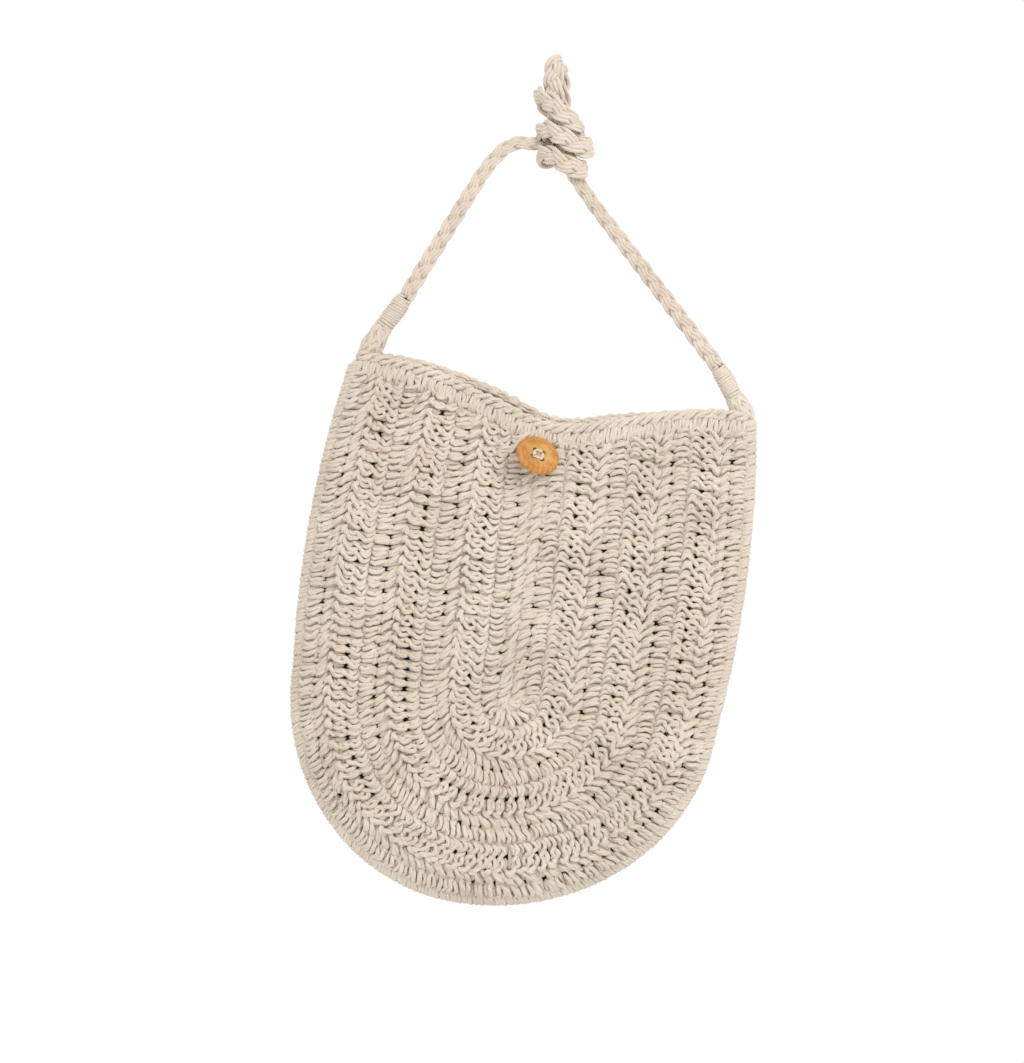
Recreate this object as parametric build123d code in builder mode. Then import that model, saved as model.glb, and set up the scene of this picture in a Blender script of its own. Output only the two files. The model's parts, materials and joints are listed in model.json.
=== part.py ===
from build123d import *
import os
from math import cos, pi, radians, sin, tan

# Crochet crossbody purse, hung up by its plaited strap. The origin is the underside of the
# strap where it rests on a round peg, +Z is up, and the front of the purse looks along -Y.
# All lengths are in millimetres and all angles in degrees.

# Strap: one plaited cord, hung over a peg and shortened by a slip knot
strap_diameter = 8.0
peg_diameter = 24.5
left_lean = 31.9
right_lean = 37.5
left_run_length = 89.6
knot_entry_length = 15.0
knot_foot = (26.9, 0.0, -14.2)
arc_trim = 0.995

# Slip knot: height, middle, half width and half depth, from its foot to the tip of its bight
knot_sections = [
    (-14.2, 27.0, 5.5, 5.0),
    (-9.0, 25.5, 8.8, 8.0),
    (-1.0, 23.5, 11.3, 10.5),
    (8.0, 21.5, 12.3, 11.0),
    (16.0, 19.0, 10.6, 10.0),
    (24.0, 17.0, 9.0, 8.5),
    (32.0, 17.8, 7.0, 7.4),
    (38.0, 18.2, 5.6, 6.4),
    (41.6, 18.1, 3.0, 3.6),
]

# Whippings: yarn wound round each end of the strap
whipping_diameter = 9.4
whipping_rounding = 2.0
left_whipping_foot = (-66.9, 0.0, -86.6)
right_whipping_top = (97.4, 0.0, -106.1)
right_whipping_length = 14.6
right_whipping_lean = 30.7

# Bag: a flat U-shaped pouch of two bowed panels, hanging a little askew
hang_tilt = 9.0
bag_foot = (-7.4, 0.0, -267.5)
foot_half_width = 104.5
foot_depth = 102.5
foot_shift = -8.0
side_gain = 0.1097
side_loss = 0.000912
above_rim = 185.0
wall = 4.0
seam_width = 4.6
seam_depth = 6.0

# Bow of each panel: distance in front of the middle, inset of the outline, height of its top
outer_bow = [
    (3.0, 0.0, above_rim),
    (7.5, 4.0, 150.0),
    (14.0, 17.0, 95.0),
    (19.0, 40.0, 65.0),
    (22.0, 75.0, 40.0),
]
inner_bow = [
    (3.0, seam_width, above_rim),
    (3.5, 5.2, 150.0),
    (10.0, 19.0, 93.0),
    (15.0, 43.0, 63.0),
    (18.0, 78.0, 38.0),
]

# Rims: a band of tighter stitches along the mouth, which dips in the middle
rim_band = 4.0
corner_height = 156.5
rim_end = 112.0
rim_dip_x = 4.0
rim_dip_height = 135.5
rim_shoulder = (32.0, 143.5)
rim_haunch = (70.0, 153.5)
back_rim_rises = [0.0, 2.5, 5.0, 3.5, 2.0, 0.0, 0.0]
level_rim = [0.0] * 7

# Strap eyes: the strap's yarns spread out and are worked into the two corners
left_neck = (-88.6, 165.2)
right_neck = (90.0, 161.0)
eye_ball_radius = 3.2
eye_foot_width = 11.0
eye_foot_depth = 6.5
eye_foot_height = 152.0
eye_foot_shift = 2.5

# Button and its thread shank
button_x = -4.8
button_height = 114.0
button_diameter = 21.6
button_thickness = 3.4
button_edge_round = 1.5
button_rim_width = 3.0
button_dish_depth = 0.5
button_hole_diameter = 2.0
button_hole_spacing = 4.2
button_hole_turn = 14.0
button_lean = 39.0
button_lean_way = 58.0
surface_front = 11.75
inner_front = 7.65
shank_radius = 1.2
shank_length = 5.3
surface_gap = 0.3
turning_gap = 0.15
stitch_diameter = 1.1
thread_knot_radius = 2.2
thread_knot_sink = 0.75


def bag_point(across, up, front=0.0):
    """Return the place of a point given across and up the bag, and in front of its middle."""
    lean = radians(hang_tilt)
    return Vector(
        bag_foot[0] + across * cos(lean) + up * sin(lean),
        -front,
        bag_foot[2] - across * sin(lean) + up * cos(lean),
    )


bag_right = Vector(cos(radians(hang_tilt)), 0, -sin(radians(hang_tilt)))
bag_plane = Plane(origin=bag_foot, x_dir=bag_right, z_dir=(0, -1, 0))


def side_half_width(height):
    """Return the bag's half width at a height above the middle of its round foot."""
    return foot_half_width + side_gain * height - side_loss * height**2


def draw_outline(inset, top, mode=Mode.ADD):
    """Draw one closed U: a round foot, bowed sides and a straight top edge."""
    half_foot = foot_half_width - inset
    half_middle = side_half_width(top / 2) - inset
    half_top = side_half_width(top) - inset
    with BuildLine() as outline:
        ThreePointArc((half_foot, 0), (half_middle, top / 2), (half_top, top))
        Line((half_top, top), (-half_top, top))
        ThreePointArc((-half_top, top), (-half_middle, top / 2), (-half_foot, 0))
        low = (foot_shift, 0)
        EllipticalCenterArc(low, half_foot + foot_shift, foot_depth - inset, start_angle=180, arc_size=90)
        EllipticalCenterArc(low, half_foot - foot_shift, foot_depth - inset, start_angle=270, arc_size=90)
    make_face(outline.edges(), mode=mode)


def rim_line(drop, rises):
    """Draw the mouth's line, lowered by drop and raised by seven rises from left to right."""
    points = [
        (-rim_end, corner_height),
        (rim_dip_x - rim_haunch[0], rim_haunch[1]),
        (rim_dip_x - rim_shoulder[0], rim_shoulder[1]),
        (rim_dip_x, rim_dip_height),
        (rim_dip_x + rim_shoulder[0], rim_shoulder[1]),
        (rim_dip_x + rim_haunch[0], rim_haunch[1]),
        (rim_end, corner_height),
    ]
    return Spline(*[(across, up - drop + rise) for (across, up), rise in zip(points, rises)])


def draw_above_rim(drop, rises):
    """Draw the region above the mouth's line."""
    top = above_rim + wall
    with BuildLine() as region:
        line = rim_line(drop, rises)
        Polyline(line @ 1, (rim_end, top), (-rim_end, top), line @ 0)
    make_face(region.edges())


def cut_above_rim(drop, rises=level_rim, mode=Mode.SUBTRACT):
    """Cut away everything above the mouth's line, or keep only that."""
    with BuildSketch(bag_plane.offset(-foot_depth)) as above:
        draw_above_rim(drop, rises)
    extrude(above.sketch, amount=2 * foot_depth, mode=mode)


# Bowed shell that each panel and rim is cut from
with BuildPart() as front_shell:
    for level, inset, top in outer_bow:
        with BuildSketch(bag_plane.offset(level)):
            draw_outline(inset, top)
    loft(ruled=True)
    for level, inset, top in inner_bow:
        with BuildSketch(bag_plane.offset(level)):
            draw_outline(inset, top)
    loft(ruled=True, mode=Mode.SUBTRACT)

with BuildPart() as back_shell:
    add(mirror(front_shell.part, about=Plane.XZ))

with BuildPart() as front_panel:
    add(front_shell.part)
    cut_above_rim(rim_band)

with BuildPart() as front_rim:
    add(front_shell.part)
    cut_above_rim(rim_band, mode=Mode.INTERSECT)
    cut_above_rim(0)

with BuildPart() as back_panel:
    add(back_shell.part)
    cut_above_rim(rim_band, back_rim_rises)

with BuildPart() as back_rim:
    add(back_shell.part)
    cut_above_rim(rim_band, back_rim_rises, mode=Mode.INTERSECT)
    cut_above_rim(0, back_rim_rises)

# Side seam: the U-shaped row of stitches that joins the panels
with BuildPart() as side_seam:
    with BuildSketch(bag_plane.offset(-seam_depth / 2)):
        draw_outline(0, above_rim)
        draw_outline(seam_width, above_rim, mode=Mode.SUBTRACT)
        with BuildLine():
            Polyline(
                (-rim_end, above_rim - seam_width),
                (rim_end, above_rim - seam_width),
                (rim_end, above_rim + seam_width),
                (-rim_end, above_rim + seam_width),
                close=True,
            )
        make_face(mode=Mode.SUBTRACT)
    extrude(amount=seam_depth)
    cut_above_rim(0)

# Strap: straight runs joined by arcs as tight as the peg
strap_radius = strap_diameter / 2
peg_arc = peg_diameter / 2 + strap_radius
left_corner = Vector(-peg_arc * tan(radians(90 - left_lean) / 2), 0, strap_radius)
right_corner = Vector(peg_arc * tan(radians(90 - right_lean) / 2), 0, strap_radius)
left_down = Vector(-sin(radians(left_lean)), 0, -cos(radians(left_lean)))
right_down = Vector(sin(radians(right_lean)), 0, -cos(radians(right_lean)))
left_strap_foot = left_corner + left_down * left_run_length
knot_entry = right_corner + right_down * knot_entry_length


def round_plane(start, toward):
    """Return the plane at start that faces toward a second point."""
    return Plane(origin=start, z_dir=Vector(toward) - Vector(start))


with BuildPart() as strap_left_leg:
    with BuildLine() as left_route:
        FilletPolyline(
            left_strap_foot,
            left_corner,
            right_corner,
            knot_entry,
            radius=[peg_arc * arc_trim, peg_arc * arc_trim],
        )
    with BuildSketch(round_plane(left_strap_foot, left_corner)):
        Circle(strap_radius)
    sweep()

with BuildPart() as strap_right_leg:
    with BuildLine() as right_route:
        Line(knot_foot, right_whipping_top)
    with BuildSketch(round_plane(knot_foot, right_whipping_top)):
        Circle(strap_radius)
    sweep()

# Slip knot: one closed form round all its turns
with BuildPart() as strap_knot:
    for height, across, half_width, half_depth in knot_sections:
        with BuildSketch(Plane(origin=(across, 0, height), x_dir=(1, 0, 0), z_dir=(0, 0, 1))):
            Ellipse(half_width, half_depth)
    loft()

# Whippings
right_whipping_down = Vector(
    sin(radians(right_whipping_lean)), 0, -cos(radians(right_whipping_lean))
)


def wind_whipping(start, toward, length):
    """Make the yarn cuff wound round one end of the strap."""
    with BuildPart() as cuff:
        with BuildSketch(round_plane(start, toward)):
            Circle(whipping_diameter / 2)
        extrude(amount=length)
        fillet(cuff.edges().filter_by(GeomType.CIRCLE), whipping_rounding)
    return cuff.part


left_cuff_length = (left_strap_foot - Vector(left_whipping_foot)).length
left_whipping = wind_whipping(left_strap_foot, left_whipping_foot, left_cuff_length)
right_whipping = wind_whipping(
    right_whipping_top,
    Vector(right_whipping_top) + right_whipping_down,
    right_whipping_length,
)


def spread_eye(neck, foot_shift):
    """Make one fan of yarns from its neck down into the bag's corner."""
    neck_at = bag_point(*neck)
    foot_at = bag_point(neck[0] + foot_shift, eye_foot_height)
    with BuildPart() as eye:
        with BuildSketch(Plane(origin=neck_at, x_dir=bag_right, z_dir=foot_at - neck_at)):
            Circle(eye_ball_radius)
        with BuildSketch(Plane(origin=foot_at, x_dir=bag_right, z_dir=foot_at - neck_at)):
            Ellipse(eye_foot_width / 2, eye_foot_depth / 2)
        loft()
        with Locations(neck_at):
            Sphere(eye_ball_radius)
        for neighbour in (front_panel, front_rim, back_panel, back_rim, side_seam):
            add(neighbour.part, mode=Mode.SUBTRACT)
    return eye.part


left_strap_eye = spread_eye(left_neck, -eye_foot_shift)
right_strap_eye = spread_eye(right_neck, eye_foot_shift)

# Button: turned wood with a raised edge, a dished middle and four holes; it leans up and to the right
lean_way = Vector(cos(radians(button_lean_way)), 0, sin(radians(button_lean_way)))
lean_hinge = Vector(sin(radians(button_lean_way)), 0, -cos(radians(button_lean_way)))
button_axis = Vector(0, -1, 0) * cos(radians(button_lean)) + lean_way * sin(radians(button_lean))
surface_at = bag_point(button_x, button_height, surface_front)
shank_root = surface_at + button_axis * (surface_gap + shank_radius)
disc_back = shank_root + button_axis * (shank_length + turning_gap)
hinge_side = button_axis.cross(lean_hinge)
hole_turn = radians(button_hole_turn)
hole_way = lean_hinge * cos(hole_turn) + hinge_side * sin(hole_turn)
disc_plane = Plane(origin=disc_back, x_dir=hole_way, z_dir=button_axis)

with BuildPart() as button:
    with BuildSketch(disc_plane):
        Circle(button_diameter / 2)
    extrude(amount=button_thickness)
    fillet(button.edges().filter_by(GeomType.CIRCLE), button_edge_round)
    with BuildSketch(disc_plane.offset(button_thickness - button_dish_depth)):
        Circle(button_diameter / 2 - button_rim_width)
    extrude(amount=button_dish_depth, mode=Mode.SUBTRACT)
    with Locations(disc_plane):
        with GridLocations(button_hole_spacing, button_hole_spacing, 2, 2):
            Hole(button_hole_diameter / 2)

# Stitches: four bars of thread in a square on the face, each going down through two holes
stitch_radius = stitch_diameter / 2
stitch_reach = button_hole_spacing / 2
stitch_top = button_thickness - button_dish_depth + stitch_radius
holes_round = [(-1, -1), (1, -1), (1, 1), (-1, 1)]

with BuildPart() as button_stitches:
    for here, there in zip(holes_round, holes_round[1:] + holes_round[:1]):
        start, end = [(x * stitch_reach, y * stitch_reach) for x, y in (here, there)]
        ends = [
            disc_plane.from_local_coords((*start, 0)),
            disc_plane.from_local_coords((*start, stitch_top)),
            disc_plane.from_local_coords((*end, stitch_top)),
            disc_plane.from_local_coords((*end, 0)),
        ]
        with BuildLine():
            FilletPolyline(*ends, radius=stitch_diameter)
        with BuildSketch(Plane(origin=ends[0], z_dir=button_axis)):
            Circle(stitch_radius)
        sweep()

with BuildPart() as button_shank:
    with BuildSketch(Plane(origin=shank_root, z_dir=button_axis)):
        Circle(shank_radius)
    extrude(amount=shank_length)
    with Locations(shank_root):
        Sphere(shank_radius)

with BuildPart() as button_thread_knot:
    with Locations(bag_point(button_x, button_height, inner_front - thread_knot_sink)):
        Sphere(thread_knot_radius)
    add(front_panel.part, mode=Mode.SUBTRACT)

# Export
pieces = {
    "front_panel": front_panel.part,
    "back_panel": back_panel.part,
    "side_seam": side_seam.part,
    "front_rim": front_rim.part,
    "back_rim": back_rim.part,
    "left_strap_eye": left_strap_eye,
    "right_strap_eye": right_strap_eye,
    "strap_left_leg": strap_left_leg.part,
    "strap_knot": strap_knot.part,
    "strap_right_leg": strap_right_leg.part,
    "left_whipping": left_whipping,
    "right_whipping": right_whipping,
    "button": button.part,
    "button_stitches": button_stitches.part,
    "button_shank": button_shank.part,
    "button_thread_knot": button_thread_knot.part,
}

os.makedirs("parts", exist_ok=True)
for name, piece in pieces.items():
    piece.label = name
    export_step(piece, f"parts/{name}.step")

for name, route, piece in (
    ("left leg", left_route, strap_left_leg),
    ("right leg", right_route, strap_right_leg),
):
    length = sum(edge.length for edge in route.edges())
    swept = pi * strap_radius**2 * length
    print(f"strap {name}: {length:.1f} mm, volume over swept {piece.part.volume / swept:.4f}")
print(f"strap bend radii over the peg: {peg_arc * arc_trim:.2f} mm twice")
print("left neck", bag_point(*left_neck), "right neck", bag_point(*right_neck))
print("shank root", shank_root, "button axis", button_axis, "lean hinge", lean_hinge)
fabric = (front_panel.part, front_rim.part)
print("button clear of the fabric by", [round(button.part.distance_to(cloth), 2) for cloth in fabric])
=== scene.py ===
"""Looks of a crochet crossbody purse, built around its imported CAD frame.

Lengths are millimetres in the bag's own terms (across, up, front) until a mesh is made, and
metres in Blender. Every stitch of the crochet is a few tubes of yarn, laid on the bowed panels.
"""

import json
import math

import bpy
import numpy as np
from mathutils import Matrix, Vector


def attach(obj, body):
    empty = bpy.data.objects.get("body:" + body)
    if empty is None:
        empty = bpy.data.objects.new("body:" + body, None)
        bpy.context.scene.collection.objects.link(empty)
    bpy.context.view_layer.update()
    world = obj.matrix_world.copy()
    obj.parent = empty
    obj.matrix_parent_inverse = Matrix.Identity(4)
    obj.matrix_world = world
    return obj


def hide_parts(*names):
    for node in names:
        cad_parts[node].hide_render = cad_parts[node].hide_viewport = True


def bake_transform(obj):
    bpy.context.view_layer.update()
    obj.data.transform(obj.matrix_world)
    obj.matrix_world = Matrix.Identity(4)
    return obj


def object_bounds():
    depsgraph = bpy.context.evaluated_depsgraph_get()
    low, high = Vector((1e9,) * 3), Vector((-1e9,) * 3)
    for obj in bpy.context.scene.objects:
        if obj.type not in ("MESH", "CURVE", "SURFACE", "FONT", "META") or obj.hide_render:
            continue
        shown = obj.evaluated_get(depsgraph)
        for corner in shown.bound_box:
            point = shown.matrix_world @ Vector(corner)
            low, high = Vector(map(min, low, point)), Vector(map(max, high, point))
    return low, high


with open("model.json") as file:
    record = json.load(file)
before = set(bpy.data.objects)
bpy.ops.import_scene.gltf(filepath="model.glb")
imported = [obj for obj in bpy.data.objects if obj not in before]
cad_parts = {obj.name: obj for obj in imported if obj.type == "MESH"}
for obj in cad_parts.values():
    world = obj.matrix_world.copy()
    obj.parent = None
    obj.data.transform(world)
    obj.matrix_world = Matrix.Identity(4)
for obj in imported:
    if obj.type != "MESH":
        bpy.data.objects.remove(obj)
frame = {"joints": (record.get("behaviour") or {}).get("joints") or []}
cad_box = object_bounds()
MM = 0.001

# ---------------------------------------------------------------- sizes
FOOT_HALF_WIDTH, FOOT_DEPTH, FOOT_SHIFT = 104.5, 102.5, -8.0
SIDE_GAIN, SIDE_LOSS = 0.1097, 0.000912
BOW_DEPTH, BOW_ROUNDNESS, SHIFT_EASE = 22.0, 2.6, 40
MOUTH_HALF_DEPTH, MOUTH_SWELL, MOUTH_EASE_HEIGHT, MOUTH_EASE = 4.5, 17.8, 106, 25
SLACK_TOP, SLACK_EASE, SLACK_INSET = 130, 60, 30
PRESS_ACROSS, PRESS_HEIGHT, PRESS_DEPTH, PRESS_REACH = 0.5, 122.5, 0.9, 7.0
FABRIC_HALF = 2.2
YARN_RADIUS, BACKING_RADIUS, CHAIN_GIRTH = 1.06, 1.5, 1.12
SIDE_RUN = 175.0
ROW_COUNT, STITCH_PITCH, PITCH_SHARE = 7, 5.2, 0.68
SEAM_SHARE, SEAM_PITCH, SEAM_TOP = 0.962, 5.6, 152
SEAM_INSET, SEAM_DEPTH, SEAM_SINK = 4.2, 5.2, 1.1
CHAIN_FOOT, CHAIN_LEAN = 3.0, -7.0 / 132
CHAIN_PITCH, CHAIN_HEIGHT = 5.6, 126
RIM_BAND, RIM_PITCH, RIM_HALF_SPAN = 8.0, 5.3, 96
STRAP_WIDTH, PLAIT_PERIOD, STRAP_STEP = 8.0, 27.0, 1.1
SHANK_END, BUTTON_BACK, BUTTON_THICKNESS = 5.3, 5.45, 3.4
HOLE_REACH, HOLE_TURN = 2.1, math.radians(14)
THREAD_RADIUS, SHANK_TURNS, THREAD_GAP, THREAD_SINK = 0.3, 8.5, 0.4, 0.5
KNOT_DEPTH, KNOT_RADIUS, KNOT_THREAD, KNOT_TURNS, KNOT_TIPS = 6.9, 2.2, 0.42, 11, 3.3

# ---------------------------------------------------------------- the bag's own frame
HANG_TILT = math.radians(9)
bag_right = Vector((math.cos(HANG_TILT), 0, -math.sin(HANG_TILT)))
bag_up = Vector((math.sin(HANG_TILT), 0, math.cos(HANG_TILT)))
bag_front = Vector((0, -1, 0))
joints = {joint["name"]: joint for joint in frame["joints"]}
button_root = Vector(joints["button_tilt"]["pos_m"]) / MM
button_hinge = Vector(joints["button_tilt"]["axis"]).normalized()
button_axis = Vector(joints["button_twist"]["axis"]).normalized()

ROOT_ACROSS, ROOT_HEIGHT, ROOT_STANDOFF = -4.8, 114.0, 1.5
bag_foot = button_root - bag_right * ROOT_ACROSS - bag_up * ROOT_HEIGHT
bag_foot -= button_axis * ROOT_STANDOFF
bag_foot.y = 0
AXES = np.array([bag_right, bag_up, bag_front])
FOOT = np.array(bag_foot)


def to_world(points):
    """Turn the bag's (across, up, front) millimetres into metres in the frame's own axes."""
    return (np.asarray(points) @ AXES + FOOT) * MM


def half_width(up):
    """Return the bag's half width at a height."""
    return FOOT_HALF_WIDTH + SIDE_GAIN * up - SIDE_LOSS * up**2


def bow(across, up):
    """Return how far in front of the middle the outside of a panel stands."""
    side_inset = half_width(np.maximum(up, 0)) - np.abs(across)
    shift = FOOT_SHIFT * np.clip(-up / SHIFT_EASE, 0, 1)
    reach = FOOT_HALF_WIDTH + np.where(across < shift, shift, -shift)
    foot_inset = FOOT_DEPTH * (1 - np.hypot((across - shift) / reach, np.minimum(up, 0) / FOOT_DEPTH))
    inset = np.clip(np.where(up > 0, side_inset, foot_inset), 0.01, FOOT_DEPTH)
    from_edge = BOW_DEPTH * (1 - (1 - inset / FOOT_DEPTH) ** BOW_ROUNDNESS + 1e-4) ** 0.4545
    toward_mouth = MOUTH_HALF_DEPTH + MOUTH_SWELL / (1 + np.exp((up - MOUTH_EASE_HEIGHT) / MOUTH_EASE))
    depth = (from_edge**-8 + toward_mouth**-8) ** -0.125
    slack = 0.9 * np.sin(across / 23 + 1.3) * np.sin(up / 31 + 0.4) + 0.5 * np.sin(across / 11 - up / 17)
    fade = np.clip((SLACK_TOP - up) / SLACK_EASE, 0, 1)
    return depth + slack * np.clip(inset / SLACK_INSET, 0, 1) * fade


def pressed_in(across, up):
    """Return how far the upper edge of the leaning button pushes the front panel back."""
    reach = np.hypot(across - PRESS_ACROSS, up - PRESS_HEIGHT)
    return PRESS_DEPTH * np.exp(-((reach / PRESS_REACH) ** 2))


def on_panel(across, up, lift, side):
    """Place points lifted off a panel's yarn mid-surface; side is 1 in front and -1 behind."""
    step = 0.5
    depth = bow(across, up) - FABRIC_HALF - (side > 0) * pressed_in(across, up)
    slope_across = (bow(across + step, up) - bow(across - step, up)) / (2 * step)
    slope_up = (bow(across, up + step) - bow(across, up - step)) / (2 * step)
    slope_across = np.clip(slope_across, -1.6, 1.6)
    size = np.sqrt(1 + slope_across**2 + slope_up**2)
    placed = [across - lift * slope_across / size, up - lift * slope_up / size, side * (depth + lift / size)]
    return np.stack(placed, axis=-1)


# ---------------------------------------------------------------- camera
PHOTO_MM = 0.49
PHOTO_SIZE = (1024, 1063)
VIEW_HEIGHT = PHOTO_SIZE[1] * PHOTO_MM * MM
CAMERA_DISTANCE, SENSOR_WIDTH = 1.7, 36
camera_data = bpy.data.cameras.new("camera")
camera_data.sensor_width = SENSOR_WIDTH
camera_data.lens = SENSOR_WIDTH * CAMERA_DISTANCE / VIEW_HEIGHT
camera = bpy.data.objects.new("camera", camera_data)
camera.location = (-0.0039, -CAMERA_DISTANCE, -0.1864)
camera.rotation_euler = (math.pi / 2, 0, 0)
bpy.context.scene.collection.objects.link(camera)
bpy.context.scene.camera = camera


# ---------------------------------------------------------------- tubes
END_TAPER = 0.35


def spline_weights(control_count, point_count):
    """Return the Catmull-Rom weights that turn control points into evenly spaced points."""
    weights = np.zeros((point_count, control_count))
    for row, at in enumerate(np.linspace(0, control_count - 1, point_count)):
        left = min(int(at), control_count - 2)
        t = at - left
        cubic = (
            -0.5 * t**3 + t**2 - 0.5 * t,
            1.5 * t**3 - 2.5 * t**2 + 1,
            -1.5 * t**3 + 2 * t**2 + 0.5 * t,
            0.5 * t**3 - 0.5 * t**2,
        )
        for offset, weight in zip((-1, 0, 1, 2), cubic):
            weights[row, min(max(left + offset, 0), control_count - 1)] += weight
    return weights


def frames_along(lines):
    """Return tangents and two untwisted side directions along each line of points."""
    tangents = np.gradient(lines, axis=1)
    tangents /= np.linalg.norm(tangents, axis=2, keepdims=True) + 1e-12
    side = np.cross(tangents[:, 0], [0.31, 0.87, 0.38])
    sides = np.empty_like(lines)
    for k in range(lines.shape[1]):
        side = side - tangents[:, k] * np.sum(side * tangents[:, k], axis=1, keepdims=True)
        side /= np.linalg.norm(side, axis=1, keepdims=True) + 1e-12
        sides[:, k] = side
    return tangents, sides, np.cross(tangents, sides)


class YarnMesh:
    """Collects tubes of yarn into one mesh, with a UV map: millimetres along and share of a turn round."""

    def __init__(self, name, sides=8):
        self.name, self.sides = name, sides
        self.points, self.faces, self.uvs = [], [], []
        self.count = 0

    def add(self, lines, radius, sides=None):
        """Add tubes with drawn-in ends along lines, an array of lines by points by three, in metres."""
        lines = np.asarray(lines, dtype=float)
        sides = sides or self.sides
        if lines.ndim == 2:
            lines = lines[None]
        line_count, point_count, _ = lines.shape
        radius = np.broadcast_to(np.asarray(radius, dtype=float), (line_count, point_count)).copy()
        radius[:, 0] *= END_TAPER
        radius[:, -1] *= END_TAPER
        _, across, up = frames_along(lines)
        angles = np.arange(sides) * 2 * np.pi / sides
        ring = (
            across[:, :, None] * np.cos(angles)[None, None, :, None]
            + up[:, :, None] * np.sin(angles)[None, None, :, None]
        )
        points = lines[:, :, None] + ring * radius[:, :, None, None]
        steps = np.linalg.norm(np.diff(lines, axis=1), axis=2)
        along = np.concatenate([np.zeros((line_count, 1)), np.cumsum(steps, axis=1)], axis=1) / MM
        along += (np.arange(line_count) * 3.7 % 11)[:, None]
        base = self.count + np.arange(line_count)[:, None, None] * point_count * sides
        k = np.arange(point_count - 1)[None, :, None] * sides
        s = np.arange(sides)[None, None, :]
        s_next = (s + 1) % sides
        quads = np.stack([base + k + s, base + k + s_next, base + k + sides + s_next,
                          base + k + sides + s], axis=-1)
        u0, u1 = along[:, :-1, None] + 0 * s, along[:, 1:, None] + 0 * s
        v0, v1 = (s + 0 * k) / sides + 0 * u0, (s + 1 + 0 * k) / sides + 0 * u0
        uv = np.stack([np.stack([u0, v0], -1), np.stack([u0, v1], -1), np.stack([u1, v1], -1),
                       np.stack([u1, v0], -1)], axis=-2)
        self.points.append(points.reshape(-1, 3))
        self.faces.append(quads.reshape(-1, 4))
        self.uvs.append(uv.reshape(-1, 2))
        self.count += line_count * point_count * sides

    def build(self, material, body, slot, *replaced):
        """Make the object, give it its material and body, and hide the nodes it stands for; slot is not used.
        """
        points, faces = np.concatenate(self.points), np.concatenate(self.faces)
        mesh = bpy.data.meshes.new(self.name)
        mesh.vertices.add(len(points))
        mesh.vertices.foreach_set("co", points.astype(np.float32).ravel())
        mesh.loops.add(len(faces) * 4)
        mesh.loops.foreach_set("vertex_index", faces.astype(np.int32).ravel())
        mesh.polygons.add(len(faces))
        mesh.polygons.foreach_set("loop_start", np.arange(0, len(faces) * 4, 4, dtype=np.int32))
        mesh.polygons.foreach_set("use_smooth", np.ones(len(faces), dtype=bool))
        uv_layer = mesh.uv_layers.new(name="yarn")
        uv_layer.data.foreach_set("uv", np.concatenate(self.uvs).astype(np.float32).ravel())
        mesh.materials.append(material)
        mesh.update()
        mesh.validate()
        piece = bpy.data.objects.new(self.name, mesh)
        bpy.context.scene.collection.objects.link(piece)
        if body:
            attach(piece, body)
        if replaced:
            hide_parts(*replaced)
        return piece


# ---------------------------------------------------------------- materials
class Material:
    """A fresh principled material, with helpers that add shader nodes and return their outputs."""

    def __init__(self, name):
        self.data = bpy.data.materials.new(name)
        self.data.use_nodes = True
        self.tree = self.data.node_tree
        self.shader = self.tree.nodes["Principled BSDF"]

    def feed(self, node, values):
        """Give a node's inputs, by name or number, a constant or another node's output."""
        for key, value in values.items():
            if isinstance(value, bpy.types.NodeSocket):
                self.tree.links.new(value, node.inputs[key])
            else:
                node.inputs[key].default_value = value

    def node(self, kind, values, **settings):
        """Add a node with its settings and its inputs, and return its outputs."""
        made = self.tree.nodes.new(kind)
        for key, value in settings.items():
            setattr(made, key, value)
        self.feed(made, values)
        return made.outputs

    def combine(self, first, weight, second):
        """Scale one value and add another."""
        return self.node("ShaderNodeMath", {0: first, 1: weight, 2: second}, operation="MULTIPLY_ADD")[0]

    def noise(self, place, scale, detail, roughness):
        """Return noise from 0 to 1 over a place."""
        values = {"Vector": place, "Scale": scale, "Detail": detail, "Roughness": roughness}
        return self.node("ShaderNodeTexNoise", values)["Fac"]

    def remap(self, value, ends, low, high):
        """Spread a value between the From ends, or over the To ends, of a range."""
        values = {"Value": value, ends + " Min": low, ends + " Max": high}
        return self.node("ShaderNodeMapRange", values)["Result"]

    def ramp(self, value, first, last, *between):
        """Turn a value into colour by stops of (position, colour)."""
        made = self.tree.nodes.new("ShaderNodeValToRGB")
        stops = made.color_ramp.elements
        stops[0].position, stops[0].color = first[0], (*first[1], 1)
        stops[1].position, stops[1].color = last[0], (*last[1], 1)
        for position, colour in between:
            stops.new(position).color = (*colour, 1)
        self.feed(made, {"Fac": value})
        return made.outputs["Color"]

    def tint(self, base, colour, share):
        """Multiply a base colour by another, by a share."""
        values = {"Factor": share, "A": base, "B": (*colour, 1)}
        return self.node("ShaderNodeMix", values, data_type="RGBA", blend_type="MULTIPLY")["Result"]

    def bump(self, height, strength, distance):
        """Return a normal that follows a height."""
        values = {"Height": height, "Strength": strength, "Distance": distance}
        return self.node("ShaderNodeBump", values)["Normal"]


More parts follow.
